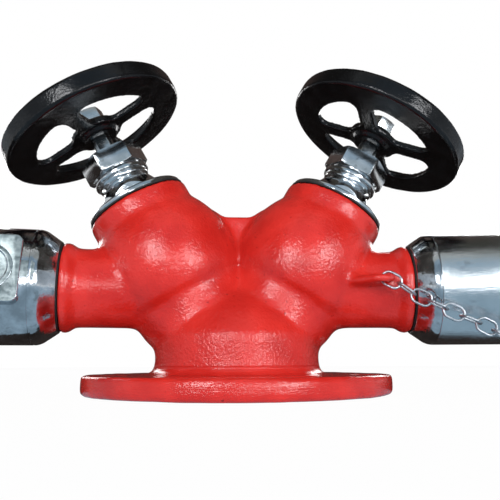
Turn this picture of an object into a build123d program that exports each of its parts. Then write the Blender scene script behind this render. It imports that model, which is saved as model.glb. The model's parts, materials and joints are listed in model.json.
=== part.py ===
from build123d import *
import os
from math import cos, sin, radians, sqrt

# Double-headed oblique hydrant valve.  Millimetres, +Z up, +X along the two outlets.
# The origin is the centre of the inlet flange's underside.  The two valve branches lean
# outwards to -X (left) and +X (right); the outlets leave towards -X and +X and are swept
# a little towards -Y, the front.

# ---------------------------------------------------------------- clearances
FIT = 0.06                  # running fit between a turning or sliding piece and its bore
THREAD_FIT = 0.05           # between screwed pieces
LOOSE = 0.1                 # between stacked pieces that only rest on each other
SEAT_GAP = 0.05             # rubber above the sealing edge when the valve is shut

# ---------------------------------------------------------------- inlet flange and neck
FLANGE_D = 229.0            # 4 inch class 150 flange
FLANGE_T = 14.0
FLANGE_EDGE_R = 1.6
BOLT_EDGE = 19.25           # from the flange's edge to the bolt circle
BOLT_PCD = FLANGE_D - 2 * BOLT_EDGE
BOLT_COUNT = 8
BOLT_HOLE_D = 19.0
NECK_D = 124.0
NECK_H = 42.0               # top of the straight neck above the flange's underside
NECK_FILLET_R = 6.0
INLET_BORE = 102.0
INLET_BORE_H = 38.0
CROWN_R = 52.7              # the crown narrows to this where it meets the fronts of the barrels
CROWN_MID = 15.7            # height of that above the straight neck
CROWN_H = 41.0              # height of the crown's top above the straight neck
CAVITY_DOME_H = 28.0        # height of the hollow above the straight bore

# ---------------------------------------------------------------- valve branches
STEM_TILT = 30.0            # degrees from vertical
AXES_MEET_Z = 7.5           # where the two stem axes cross on the centre line
RIM_DISTANCE = 158.0        # from there to the bonnet rim, along the stem
RIM_R = 41.0                # collar that carries the bonnet
COLLAR_H = 13.0
COLLAR_STEP = 0.9
COLLAR_EDGE = 1.2
BULB_R = 53.0               # widest radius of the valve chamber
BULB_MID = 46.0             # its depth below the rim
BULB_LOW_R = 49.5           # radius where the chamber ends
BULB_LOW = 79.0
SEAT_BARREL_R = 45.5        # barrel under the chamber, round the seat
SEAT_BARREL_TOP = 81.5
SEAT_BARREL_LOW = 101.0
CHAMBER_WALL = 7.0
PARTITION_TOP = 82.0        # seat partition, depths below the rim
PARTITION_T = 8.0
PASSAGE_R = 31.5
PASSAGE_LOW = 150.0
WEB_T = 14.0                # rib between the two chambers
WEB_TOP_Z = 136.5
WEB_LOW_Z = 80.0
WEB_HALF_LENGTH = 28.0
WEB_FLAT = 8.5              # half length of its flat top, which then rises to the chambers
WEB_FILLET_R = 9.5
WEB_FILLET_TURN = 50.0
WEB_END_RISE = 9.0

# ---------------------------------------------------------------- outlets
OUTLET_Z = 77.0
OUTLET_SWEEP = 8.0          # degrees towards the front
STUB_R = 29.3
STUB_START = 58.0
STUB_END = 131.0
BEAD_R = 33.2
BEAD_LENGTH = 5.5
FLARE_LENGTH = 5.0
WATERWAY_R = 24.0
WATERWAY_START = 73.0
OUTLET_THREAD_R = 26.0
OUTLET_THREAD_LENGTH = 21.0

# ---------------------------------------------------------------- chain lug on the casting
LUG_CENTRE = (98.5, -54.0, 79.5)
LUG_ROOT = (78.0, -30.0)
LUG_R = 10.0
LUG_T = 6.0
LUG_HOLE_R = 3.8
LUG_ROUND = 2.4

# ---------------------------------------------------------------- bonnet and gland, heights above the rim
BONNET_THREAD_R = 32.0
BONNET_THREAD_LENGTH = 24.0
BONNET_LOW = -26.0
BONNET_BORE_LEAD = 4.0
GASKET_T = 1.2
GASKET_IN_R = 33.0
GASKET_OUT_R = 40.0
BONNET_FLANGE_R = 39.0
BONNET_FLANGE_T = 3.8
BONNET_HEX_AF = 46.0
BONNET_HEX_H = 14.0
BONNET_HEX_CROWN_R = 20.5
BONNET_NECK_R = 16.5
COLLAR_RING_Z = 22.5
COLLAR_RING_R = 22.5
COLLAR_RING_H = 7.0
GLAND_THREAD_R = 18.0
GLAND_TOP = 40.0
STUFFING_R = 13.5
STUFFING_FLOOR = 13.0
BACK_SEAT = 9.0             # underside of the stem guide, where the spindle thread stops
PACKING_RINGS = 3
PACKING_RING_H = 4.4
FOLLOWER_FLANGE_R = 17.4
FOLLOWER_FLANGE_T = 1.7
GLAND_NUT_AF = 44.0
GLAND_NUT_H = 16.0
GLAND_NUT_CHAMFER = 1.8
GLAND_NUT_HOLE_R = 9.5
FOLLOWER_STANDOFF = 0.3     # the follower's flange above the stuffing box
NUT_STANDOFF = 2.5          # the gland nut above the collar ring
HEX_TURN = {"left": -86.0, "right": -98.0}      # where a flat of the gland nut faces

# ---------------------------------------------------------------- spindle
STEM_R = 9.0
THREAD_R = 11.0
THREAD_LOW = -44.0
THREAD_LENGTH = 32.5
SPINDLE_NECK_R = 6.0
BUTTON_R = 9.0
BUTTON_TOP = -55.0
BUTTON_H = 7.0
SHANK_LOW = 52.0            # flats start
SHANK_AF = 15.5
HUB_LOW = 65.0              # shoulder that carries the handwheel
SQUARE_AF = 13.0
SQUARE_R = 8.0              # rounded corners of the square
STUD_R = 6.0
STUD_TOP = 92.0
SQUARE_SHY = 0.5            # the square ends under the hub's top, so the washer clamps the hub
ROD_CHAMFER = 1.0

# ---------------------------------------------------------------- handwheel
WHEEL_R = 74.0
WHEEL_PLANE = 69.0          # underside of rim and web above the bonnet rim
RIM_H = 15.0
RIM_W = 10.5
RIM_EDGE_R = 2.5
WEB_PLATE_T = 5.5
HUB_R = 18.5
HUB_FOOT_R = 15.0
HUB_TOP = 77.0
WINDOW_IN_R = 21.0
WINDOW_OUT_R = 51.0
SPOKE_W = 13.0
WINDOW_CORNER_R = 7.5
SPOKE_TURN = {"left": -16.0, "right": -27.0}
WASHER_R = 14.0
WASHER_T = 1.5
WHEEL_NUT_AF = 22.0
WHEEL_NUT_H = 11.0
WHEEL_NUT_CHAMFER = 1.4
WHEEL_NUT_TURN = -75.0
RIM_DRAFT = 1.5
HUB_DRAFT = 1.5

# ---------------------------------------------------------------- valve disc and seat
SEAT_BORE_R = 25.0
SEAT_RING_R = 30.0
SEAT_LIP_R = 33.0
SEAT_LIP_TOP = 80.6
SEAT_FACE = 80.0            # depth of the sealing edge below the rim
SEAL_T = 6.0
SEAL_R = 31.0
DISC_R = 33.0
DISC_T = 8.0
DISC_SKIRT = 4.5
DISC_BOSS_R = 15.0
DISC_BOSS_TOP = -48.0
SEAL_STUD_R = 5.0
SEAL_STUD_LOW = -91.0
SEAL_PLATE_R = 15.0
SEAL_PLATE_T = 2.5
SEAL_NUT_AF = 17.0
SEAL_NUT_H = 7.0
SEAL_NUT_CHAMFER = 1.2
BUTTON_ROOM = 0.3           # the disc turns loose on the spindle's button
SEAT_EDGE_FROM = 1.6        # the sealing edge, radii out from the seat's bore
SEAT_EDGE_TO = 3.4
SEAT_CHAMFER = 1.5
DISC_CHAMFER = 2.0

# ---------------------------------------------------------------- outlet fittings, along the outlet axis
JOINT_RING_T = 1.0
JOINT_RING_ROOM = 0.4       # round the spigot
JOINT_RING_SHY = 1.0        # inside the bead's edge
SPIGOT_WALL = 2.5
COUPLING_R = 42.0
COUPLING_START_IN = 8.4     # the shoulder starts this far inside the barrel
SHOULDER_LENGTH = 15.6      # from the joint ring to the full radius
SHOULDER_BEND = 9.6         # where its cone turns into the round
SHOULDER_BEND_IN = 1.7
GROOVE_AT = 148.0
GROOVE_W = 1.6
GROOVE_DEPTH = 0.9
COUPLING_END = 198.0
END_ROUND = 4.0
MOUTH_R = 33.6
MOUTH_LEAD = 1.5
MOUTH_BORE = 12.5           # length of the bore that guides the hose's end, in front of the plungers
RELIEF_DEPTH = 1.0          # the bore is wider behind that, where the plungers come through it
SEAL_SEAT = 150.0
SEAL_GROOVE_R = 35.5
SEAL_GROOVE_W = 8.5
SEAL_LIP_R = 31.6
SEAL_LIP_THIN = 0.6
SEAL_LIP_CUT = 1.5
SEAL_LIP_ROOT = 3.0
PAD_WIDTH = 47.0
PAD_LENGTH = 43.0
PAD_FACE = 43.0             # distance of the flat from the outlet axis
PAD_CORNER_R = 5.0
PAD_EDGE_R = 0.8
PLUNGER_AT = 175.0
PLUNGER_R = 8.0
PLUNGER_TIP = 29.5
PLUNGER_FLANGE_R = 10.0
PLUNGER_FLANGE_T = 1.0
PLUNGER_CUP_R = 5.2
PLUNGER_NOSE = 1.8          # chamfer of the nose, along and across
PLUNGER_END_T = 2.2
POCKET_R = 14.0
POCKET_FLOOR = 36.0
PLUG_R = 16.8
PLUG_SEAT = 42.2
PLUG_FACE = 43.6
PLUG_DISH = 0.7
PLUG_WALL = 1.6
PLUG_SKIRT = 2.7
PLUG_SKIRT_WALL = 3.0
PLUG_BEVEL = 0.8
KEY_HOLE_R = 2.6
SPRING_R = 4.2
SPRING_WIRE_R = 0.4
SPRING_COILS = 5
PLUNGER_TURN = {"front": -80.0, "back": 100.0}   # from upright, about the left outlet

# ---------------------------------------------------------------- right outlet: plain nose, blank cap and its chain
NOSE_BORE_FROM = 152.0
NOSE_WALL = 6.9
NOSE_LEAD = 2.0
CAP_WALL = 5.0              # skirt
CAP_END_T = 7.0
CAP_END = 202.0
CAP_ROUND = 6.0
CAP_EDGE_R = 0.6
CAP_ROOM = 2.0              # between the nose and the cap's end wall
CAP_BORE_R = COUPLING_R - CAP_WALL
NOSE_R = CAP_BORE_R - LOOSE
NOSE_BORE_R = NOSE_R - NOSE_WALL
NOSE_END = CAP_END - CAP_END_T - CAP_ROOM
ORING_R = 1.6
ORING_OUT_R = CAP_BORE_R - FIT
ORING_AT = 172.0
ORING_ROOM = 0.3
EAR_AT = 46.5               # radius of the ear's hole from the outlet axis
EAR_R = 6.5
EAR_T = 4.0
EAR_LOW = 198.8             # the ear stands a little proud of the cap's end
EAR_HOLE_R = 3.4
EAR_ROUND = 1.3
EAR_TURN = 165.0            # from upright, down towards the front
WIRE_R = 0.9
LINK_W = 11.4
LINK_PLAY = 0.35            # slack at each end of a link, so that links clear each other where the chain bends
CHAIN_LINKS = 13            # odd, so the first and last link both pass through their eyes
CHAIN_ROUTE = [(109.0, -58.5, 76.5), (120.0, -61.0, 67.8), (132.7, -63.5, 61.8), (145.3, -66.5, 54.6),
               (155.3, -68.0, 50.3), (166.3, -69.0, 45.0), (175.5, -68.5, 39.8), (180.5, -68.0, 35.8),
               (188.0, -70.5, 27.6), (196.0, -67.8, 19.8), (201.5, -58.0, 17.2), (201.6, -47.2, 21.3)]
EYE_SLACK = {"lug": 1.4, "ear": 0.7}            # how far the end links stand off the walls of their eyes
LUG_RISE = 2.1                                  # the first link's bend lies on the eye's upper edge

SIDES = {"left": -1, "right": 1}


# ================================================================ shared shapes
def turned(*corners):
    """Solid of revolution about Z, from (radius, height) corners."""
    return revolve(make_face(Plane.XZ * Polyline(*corners, close=True)), Axis.Z)


def tube(inner, outer, low, high):
    """Plain ring between two radii and two heights."""
    return turned((inner, low), (outer, low), (outer, high), (inner, high))


def rod(radius, low, high):
    return turned((0, low), (radius, low), (radius, high), (0, high))


def circles(solid, radius, height):
    """Circular edges of a radius at a height, on any axis parallel to Z."""
    return [edge for edge in solid.edges().filter_by(GeomType.CIRCLE)
            if abs(edge.radius - radius) < 1e-3 and abs(edge.arc_center.Z - height) < 1e-3]


def hexagon(across_flats, low, high, turn=0.0):
    """Hexagonal bar along Z with a flat facing the angle turn."""
    corner_to_flat = 30
    outline = RegularPolygon(across_flats / 2, 6, major_radius=False, rotation=turn + corner_to_flat)
    return extrude(Plane.XY.offset(low) * outline, high - low)


def hex_nut(across_flats, low, high, hole, chamfer, turn=0.0):
    """Hexagon nut, its corners chamfered top and bottom."""
    corner = across_flats / sqrt(3)
    envelope = turned((0, low), (corner - chamfer, low), (corner, low + chamfer / 2),
                      (corner, high - chamfer / 2), (corner - chamfer, high), (0, high))
    return hexagon(across_flats, low, high, turn) & envelope - rod(hole, low - 1, high + 1)


def squared_rod(across_flats, corner_r, low, high):
    """Square bar along Z whose corners are rounded to a radius."""
    outline = Rectangle(across_flats, across_flats) & Circle(corner_r)
    return extrude(Plane.XY.offset(low) * outline, high - low)


# ================================================================ frames of the assembly
def branch_frame(side):
    """Rim centre of a valve branch, Z out along the stem, X away from the middle."""
    tilt = radians(STEM_TILT)
    stem = Vector(side * sin(tilt), 0, cos(tilt))
    return Plane(Vector(0, 0, AXES_MEET_Z) + stem * RIM_DISTANCE,
                 x_dir=(cos(tilt), 0, -side * sin(tilt)), z_dir=stem)


def outlet_frame(side):
    """Outlet axis, Z out of the valve, X upright; heights count from the centre line."""
    sweep = radians(OUTLET_SWEEP)
    return Plane((0, 0, OUTLET_Z), x_dir=(0, 0, 1), z_dir=(side * cos(sweep), -sin(sweep), 0))


def plunger_frame(side, turn):
    """On the outlet axis at the plungers, Z out along one plunger, X along the outlet."""
    outlet = outlet_frame(side)
    across = outlet.x_dir * cos(radians(turn)) + outlet.y_dir * sin(radians(turn))
    return Plane(outlet.origin + outlet.z_dir * PLUNGER_AT, x_dir=outlet.z_dir, z_dir=across)


def placed(frame, shape):
    return frame.location * shape


# ================================================================ body casting
def arc_profile(start, middle, end, tail):
    """Solid of revolution: an arc through three (radius, height) points, closed by straight runs."""
    outline = ThreePointArc(start, middle, end) + Polyline(end, *tail, start)
    return revolve(make_face(Plane.XZ * outline), Axis.Z)


def neck_shape():
    """Flange, straight neck and the crown that joins the two branches."""
    neck_r = NECK_D / 2
    flange = rod(FLANGE_D / 2, 0, FLANGE_T)
    flange = fillet(circles(flange, FLANGE_D / 2, 0) + circles(flange, FLANGE_D / 2, FLANGE_T), FLANGE_EDGE_R)
    crown = ThreePointArc((neck_r, NECK_H), (CROWN_R, NECK_H + CROWN_MID), (0, NECK_H + CROWN_H))
    outline = Polyline((0, NECK_H + CROWN_H), (0, FLANGE_T / 2), (neck_r, FLANGE_T / 2), (neck_r, NECK_H)) + crown
    body = flange + revolve(make_face(Plane.XZ * outline), Axis.Z)
    return fillet(circles(body, neck_r, FLANGE_T), NECK_FILLET_R)


def branch_shape():
    """Outside of one branch: collar, bulging chamber and the barrel round the seat."""
    step_r = RIM_R - COLLAR_STEP
    return arc_profile((BULB_LOW_R, -BULB_LOW), (BULB_R, -BULB_MID), (step_r, -COLLAR_H),
                       [(RIM_R, -COLLAR_H + COLLAR_STEP), (RIM_R, -COLLAR_EDGE), (RIM_R - COLLAR_EDGE, 0),
                        (0, 0), (0, -SEAT_BARREL_LOW), (SEAT_BARREL_R, -SEAT_BARREL_LOW),
                        (SEAT_BARREL_R, -SEAT_BARREL_TOP)])


def branch_hollow():
    """Water space of one branch: bonnet thread, chamber, seat hole and the passage below."""
    low_r = SEAT_BARREL_R - CHAMBER_WALL
    chamber = arc_profile((BULB_LOW_R - CHAMBER_WALL, -BULB_LOW + CHAMBER_WALL), (BULB_R - CHAMBER_WALL, -BULB_MID),
                          (BONNET_THREAD_R, -BONNET_THREAD_LENGTH),
                          [(0, -BONNET_THREAD_LENGTH), (0, -PARTITION_TOP), (low_r, -PARTITION_TOP)])
    thread = rod(BONNET_THREAD_R, -BONNET_THREAD_LENGTH - 1, 1)
    seat_hole = rod(SEAT_RING_R + THREAD_FIT, -PARTITION_TOP - PARTITION_T - 1, -PARTITION_TOP + 1)
    passage = rod(PASSAGE_R, -PASSAGE_LOW, -PARTITION_TOP - PARTITION_T)
    return chamber + thread + seat_hole + passage


def outlet_stub():
    flare_end = STUB_END - BEAD_LENGTH
    stub = turned((0, STUB_START), (STUB_R, STUB_START), (STUB_R, flare_end - FLARE_LENGTH),
                  (BEAD_R, flare_end), (BEAD_R, STUB_END - 1), (BEAD_R - 1, STUB_END), (0, STUB_END))
    soft = circles(stub, STUB_R, flare_end - FLARE_LENGTH) + circles(stub, BEAD_R, flare_end)
    return fillet(soft, FLARE_LENGTH * 0.6)


def outlet_hollow():
    thread_start = STUB_END - OUTLET_THREAD_LENGTH
    return (rod(WATERWAY_R, WATERWAY_START, STUB_END + 1)
            + rod(OUTLET_THREAD_R + THREAD_FIT, thread_start, STUB_END + 1))


def chain_lug():
    """Flat eye at the front of the right outlet."""
    x, y, z = LUG_CENTRE
    root, tip = Vector(*LUG_ROOT, z), Vector(x, y, z)
    along = (tip - root).normalized()
    plate = Plane(root + (tip - root) / 2 - Vector(0, 0, LUG_T / 2), x_dir=along, z_dir=(0, 0, 1))
    eye = Plane((x, y, z - LUG_T))
    lug = extrude(plate * SlotCenterToCenter((tip - root).length, 2 * LUG_R), LUG_T)
    lug -= extrude(eye * Circle(LUG_HOLE_R), 2 * LUG_T)
    return fillet(circles(lug, LUG_R, z - LUG_T / 2) + circles(lug, LUG_R, z + LUG_T / 2)
                  + circles(lug, LUG_HOLE_R, z - LUG_T / 2) + circles(lug, LUG_HOLE_R, z + LUG_T / 2), LUG_ROUND)


def web_shape():
    """Rib between the chambers; its top runs up to each of them in a fillet."""
    turns = [radians(WEB_FILLET_TURN * share) for share in (0, 0.5, 1)]
    rise = [(WEB_FLAT + WEB_FILLET_R * sin(turn), WEB_TOP_Z + WEB_FILLET_R * (1 - cos(turn))) for turn in turns]
    fall = [(-x, z) for x, z in rise]
    end_z = WEB_TOP_Z + WEB_END_RISE
    outline = (ThreePointArc(*rise) + ThreePointArc(*fall) + Line(rise[0], fall[0])
               + Polyline(rise[2], (WEB_HALF_LENGTH, end_z), (WEB_HALF_LENGTH, WEB_LOW_Z),
                          (-WEB_HALF_LENGTH, WEB_LOW_Z), (-WEB_HALF_LENGTH, end_z), fall[2]))
    return extrude(Plane.XZ * make_face(outline), WEB_T / 2, both=True)


def body_casting():
    body = neck_shape()
    body += web_shape()
    for side in SIDES.values():
        body += placed(branch_frame(side), branch_shape())
        body += placed(outlet_frame(side), outlet_stub())
    body += chain_lug()
    bore_r = INLET_BORE / 2
    crown = EllipticalCenterArc((0, INLET_BORE_H), bore_r, CAVITY_DOME_H, arc_size=90)
    outline = Polyline((0, INLET_BORE_H + CAVITY_DOME_H), (0, -1), (bore_r, -1), (bore_r, INLET_BORE_H)) + crown
    body -= revolve(make_face(Plane.XZ * outline), Axis.Z)
    for side in SIDES.values():
        body -= placed(branch_frame(side), branch_hollow())
        body -= placed(outlet_frame(side), outlet_hollow())
    step = 360 / BOLT_COUNT
    for hole in range(BOLT_COUNT):
        body -= Rot(0, 0, step * (hole + 0.5)) * Pos(BOLT_PCD / 2, 0, 0) * rod(BOLT_HOLE_D / 2, -1, FLANGE_T + 1)
    return body


# ================================================================ bonnet and gland, in the branch frame
def bonnet():
    flange_low, flange_top = GASKET_T, GASKET_T + BONNET_FLANGE_T
    hex_top = flange_top + BONNET_HEX_H
    ring_top = COLLAR_RING_Z + COLLAR_RING_H
    thread_r = BONNET_THREAD_R - THREAD_FIT
    groove = COLLAR_RING_Z + COLLAR_RING_H * 0.45
    shell = turned((THREAD_R + FIT, BONNET_LOW), (thread_r - BONNET_BORE_LEAD, BONNET_LOW),
                   (thread_r, BONNET_LOW + BONNET_BORE_LEAD), (thread_r, flange_low), (BONNET_FLANGE_R, flange_low),
                   (BONNET_FLANGE_R, flange_top - ROD_CHAMFER), (BONNET_FLANGE_R - ROD_CHAMFER, flange_top),
                   (BONNET_NECK_R, flange_top), (BONNET_NECK_R, COLLAR_RING_Z), (COLLAR_RING_R - 2, COLLAR_RING_Z),
                   (COLLAR_RING_R - 1.5, groove - 0.7),
                   (COLLAR_RING_R - 3, groove), (COLLAR_RING_R, groove + 0.7), (COLLAR_RING_R, ring_top - 0.5),
                   (COLLAR_RING_R - 0.5, ring_top), (GLAND_THREAD_R, ring_top), (GLAND_THREAD_R, GLAND_TOP),
                   (STUFFING_R, GLAND_TOP), (STUFFING_R, STUFFING_FLOOR), (STEM_R + FIT, STUFFING_FLOOR),
                   (STEM_R + FIT, BACK_SEAT), (THREAD_R + FIT, BACK_SEAT))
    corner = BONNET_HEX_AF / sqrt(3)
    crown = turned((STUFFING_R, flange_top - 1), (corner, flange_top - 1), (corner, flange_top + 3),
                   (BONNET_HEX_CROWN_R, hex_top), (STUFFING_R, hex_top))
    return shell + (hexagon(BONNET_HEX_AF, flange_top - 1, hex_top, -90) & crown)


def bonnet_gasket():
    return tube(GASKET_IN_R, GASKET_OUT_R, 0, GASKET_T)


def gland_packing():
    """Square packing rings round the stem, one solid each."""
    rings = [tube(STEM_R + LOOSE, STUFFING_R - LOOSE, STUFFING_FLOOR + i * PACKING_RING_H,
                  STUFFING_FLOOR + (i + 1) * PACKING_RING_H - FIT) for i in range(PACKING_RINGS)]
    return Compound(children=[ring.solid() for ring in rings])


def gland_follower():
    low = STUFFING_FLOOR + PACKING_RINGS * PACKING_RING_H
    flange = GLAND_TOP + FOLLOWER_STANDOFF
    return turned((STEM_R + LOOSE, low), (STUFFING_R - LOOSE, low), (STUFFING_R - LOOSE, flange),
                  (FOLLOWER_FLANGE_R, flange), (FOLLOWER_FLANGE_R, flange + FOLLOWER_FLANGE_T),
                  (STEM_R + LOOSE, flange + FOLLOWER_FLANGE_T))


def gland_nut(turn):
    low = COLLAR_RING_Z + COLLAR_RING_H + NUT_STANDOFF
    roof = GLAND_TOP + FOLLOWER_STANDOFF + FOLLOWER_FLANGE_T
    nut = hex_nut(GLAND_NUT_AF, low, low + GLAND_NUT_H, GLAND_NUT_HOLE_R, GLAND_NUT_CHAMFER, turn)
    return nut - rod(GLAND_THREAD_R + THREAD_FIT, low - 1, roof)


# ================================================================ spindle and handwheel, in the branch frame
def spindle():
    thread_top = THREAD_LOW + THREAD_LENGTH
    button_low = BUTTON_TOP - BUTTON_H
    bar = turned((0, button_low), (BUTTON_R, button_low), (BUTTON_R, BUTTON_TOP), (SPINDLE_NECK_R, BUTTON_TOP),
                 (SPINDLE_NECK_R, THREAD_LOW), (THREAD_R - ROD_CHAMFER, THREAD_LOW),
                 (THREAD_R, THREAD_LOW + ROD_CHAMFER),
                 (THREAD_R, thread_top), (STEM_R, thread_top), (STEM_R, SHANK_LOW), (0, SHANK_LOW))
    shank = squared_rod(SHANK_AF, STEM_R, SHANK_LOW, HUB_LOW)
    square = squared_rod(SQUARE_AF, SQUARE_R, HUB_LOW, HUB_TOP - SQUARE_SHY)
    stud = turned((0, HUB_TOP - SQUARE_SHY), (STUD_R, HUB_TOP - SQUARE_SHY), (STUD_R, STUD_TOP - ROD_CHAMFER),
                  (STUD_R - ROD_CHAMFER, STUD_TOP), (0, STUD_TOP))
    return bar + shank + square + stud


def handwheel(turn):
    """Cast wheel: deep rim, flat web with four windows, hub below and above it."""
    web_top = WHEEL_PLANE + WEB_PLATE_T
    rim_top = WHEEL_PLANE + RIM_H
    rim_in = WHEEL_R - RIM_W
    wheel = turned((0, HUB_LOW), (HUB_FOOT_R, HUB_LOW), (HUB_R, WHEEL_PLANE), (WHEEL_R, WHEEL_PLANE),
                   (WHEEL_R, rim_top), (rim_in, rim_top), (rim_in - RIM_DRAFT, web_top),
                   (HUB_R + HUB_DRAFT / 2, web_top),
                   (HUB_R - HUB_DRAFT / 2, HUB_TOP), (0, HUB_TOP))
    edges = (circles(wheel, WHEEL_R, WHEEL_PLANE) + circles(wheel, WHEEL_R, rim_top)
             + circles(wheel, rim_in, rim_top))
    wheel = fillet(edges, RIM_EDGE_R)
    windows = Circle(WINDOW_OUT_R) - Circle(WINDOW_IN_R)
    windows -= Rectangle(2 * WHEEL_R, SPOKE_W) + Rectangle(SPOKE_W, 2 * WHEEL_R)
    windows = fillet(windows.vertices(), WINDOW_CORNER_R)
    wheel -= Rot(0, 0, turn) * extrude(Plane.XY.offset(WHEEL_PLANE - 1) * windows, WEB_PLATE_T + 2)
    return wheel - squared_rod(SQUARE_AF + 2 * LOOSE, SQUARE_R + LOOSE, HUB_LOW - 1, HUB_TOP + 1)


def wheel_washer():
    return tube(STUD_R + LOOSE, WASHER_R, HUB_TOP, HUB_TOP + WASHER_T)


def wheel_nut():
    low = HUB_TOP + WASHER_T
    return hex_nut(WHEEL_NUT_AF, low, low + WHEEL_NUT_H, STUD_R + THREAD_FIT, WHEEL_NUT_CHAMFER, WHEEL_NUT_TURN)


# ================================================================ valve disc and seat, in the branch frame
SEAL_LOW = -SEAT_FACE + SEAT_GAP
DISC_LOW = SEAL_LOW + SEAL_T


def seat_ring():
    low = -PARTITION_TOP - PARTITION_T - 1
    return turned((SEAT_BORE_R, low), (SEAT_RING_R, low), (SEAT_RING_R, -PARTITION_TOP),
                  (SEAT_LIP_R, -PARTITION_TOP),
                  (SEAT_LIP_R, -SEAT_LIP_TOP), (SEAT_BORE_R + SEAT_EDGE_TO, -SEAT_LIP_TOP),
                  (SEAT_BORE_R + SEAT_EDGE_TO, -SEAT_FACE), (SEAT_BORE_R + SEAT_EDGE_FROM, -SEAT_FACE),
                  (SEAT_BORE_R, -SEAT_FACE - SEAT_CHAMFER))


def valve_disc():
    """Disc with a rubber pocket below and a boss that takes the spindle's button."""
    top = DISC_LOW + DISC_T
    cavity_r = BUTTON_R + BUTTON_ROOM
    floor = BUTTON_TOP - BUTTON_H - LOOSE
    pocket_r = SEAL_R + LOOSE
    return turned((0, SEAL_STUD_LOW), (SEAL_STUD_R, SEAL_STUD_LOW), (SEAL_STUD_R, DISC_LOW), (pocket_r, DISC_LOW),
                  (pocket_r, DISC_LOW - DISC_SKIRT), (DISC_R, DISC_LOW - DISC_SKIRT), (DISC_R, top - DISC_CHAMFER),
                  (DISC_R - DISC_CHAMFER, top), (DISC_BOSS_R, top), (DISC_BOSS_R, DISC_BOSS_TOP - DISC_CHAMFER / 2),
                  (DISC_BOSS_R - DISC_CHAMFER / 2, DISC_BOSS_TOP), (cavity_r, DISC_BOSS_TOP),
                  (cavity_r, floor), (0, floor))


def disc_retainer():
    """Ring nut in the boss that holds the spindle's button."""
    return tube(SPINDLE_NECK_R + FIT, BUTTON_R + BUTTON_ROOM - THREAD_FIT, BUTTON_TOP + LOOSE, DISC_BOSS_TOP)


def disc_seal():
    return tube(SEAL_STUD_R + LOOSE, SEAL_R, SEAL_LOW, DISC_LOW)


def seal_plate():
    return tube(SEAL_STUD_R + LOOSE, SEAL_PLATE_R, SEAL_LOW - SEAL_PLATE_T, SEAL_LOW)


def seal_nut():
    high = SEAL_LOW - SEAL_PLATE_T
    return hex_nut(SEAL_NUT_AF, high - SEAL_NUT_H, high, SEAL_STUD_R + THREAD_FIT, SEAL_NUT_CHAMFER)


# ================================================================ couplings, in the outlet frame
SHOULDER = STUB_END + JOINT_RING_T


def joint_ring():
    return tube(OUTLET_THREAD_R + JOINT_RING_ROOM, BEAD_R - JOINT_RING_SHY, STUB_END, SHOULDER)


def shoulder(end):
    """Outside of an outlet fitting: threaded spigot, cone that rounds over, plain barrel up to end."""
    full = SHOULDER + SHOULDER_LENGTH
    bend = SHOULDER + SHOULDER_BEND
    bend_r = COUPLING_R - SHOULDER_BEND_IN
    middle = (COUPLING_R - SHOULDER_BEND_IN * 0.27, (bend + full) / 2)
    outline = (Polyline((COUPLING_R, full), (COUPLING_R, end), (0, end), (0, SHOULDER),
                        (COUPLING_R - COUPLING_START_IN, SHOULDER), (bend_r, bend))
               + ThreePointArc((bend_r, bend), middle, (COUPLING_R, full)))
    spigot = rod(OUTLET_THREAD_R, STUB_END - OUTLET_THREAD_LENGTH + 1, SHOULDER)
    return spigot + revolve(make_face(Plane.XZ * outline), Axis.Z)


def spigot_bore(end):
    return rod(OUTLET_THREAD_R - SPIGOT_WALL, STUB_END - OUTLET_THREAD_LENGTH - 1, end)


def coupling():
    """Hose socket: shoulder, mouth, and two flats that carry the plungers."""
    outside = shoulder(COUPLING_END)
    outside = fillet(circles(outside, COUPLING_R, COUPLING_END), END_ROUND)
    pad_h = PAD_FACE - SPRING_R * 2
    pad = extrude(Rectangle(PAD_LENGTH, PAD_WIDTH), pad_h)
    pad = fillet(pad.edges().filter_by(Axis.Z), PAD_CORNER_R)
    pad = Pos(0, 0, PAD_FACE - pad_h) * fillet(pad.faces().sort_by(Axis.Z)[-1].edges(), PAD_EDGE_R)
    stations = [Pos(0, 0, PLUNGER_AT) * Rot(0, 0, turn) * Rot(0, 90, 0) for turn in PLUNGER_TURN.values()]
    for station in stations:
        outside += station * pad
    groove = tube(COUPLING_R - GROOVE_DEPTH, COUPLING_R + 1, GROOVE_AT - GROOVE_W / 2, GROOVE_AT + GROOVE_W / 2)
    seal_groove = rod(SEAL_GROOVE_R, SEAL_SEAT, SEAL_SEAT + SEAL_GROOVE_W)
    mouth = turned((0, SEAL_SEAT), (MOUTH_R, SEAL_SEAT), (MOUTH_R, COUPLING_END - MOUTH_LEAD),
                   (MOUTH_R + MOUTH_LEAD, COUPLING_END), (MOUTH_R + MOUTH_LEAD, COUPLING_END + 1),
                   (0, COUPLING_END + 1))
    relief = rod(MOUTH_R + RELIEF_DEPTH, SEAL_SEAT + SEAL_GROOVE_W / 2, COUPLING_END - MOUTH_LEAD - MOUTH_BORE)
    body = outside - groove - spigot_bore(SEAL_SEAT + 1) - seal_groove - relief - mouth
    pocket = rod(PLUNGER_R, PLUNGER_TIP, POCKET_FLOOR + 1) + rod(POCKET_R, POCKET_FLOOR, PLUG_FACE + 1)
    pocket += rod(PLUG_R + LOOSE, PLUG_SEAT, PLUG_FACE + 1)
    for station in stations:
        body -= station * pocket
    return body


def coupling_seal():
    """Lipped rubber ring at the bottom of the mouth."""
    low, high = SEAL_SEAT, SEAL_SEAT + SEAL_GROOVE_W - LOOSE
    return turned((SEAL_LIP_R + SEAL_LIP_THIN, low), (SEAL_GROOVE_R - LOOSE, low), (SEAL_GROOVE_R - LOOSE, high),
                  (SEAL_LIP_R, high), (SEAL_LIP_R - SEAL_LIP_THIN, high - SEAL_LIP_CUT),
                  (SEAL_LIP_R + SEAL_LIP_THIN, low + SEAL_LIP_ROOT))


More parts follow.
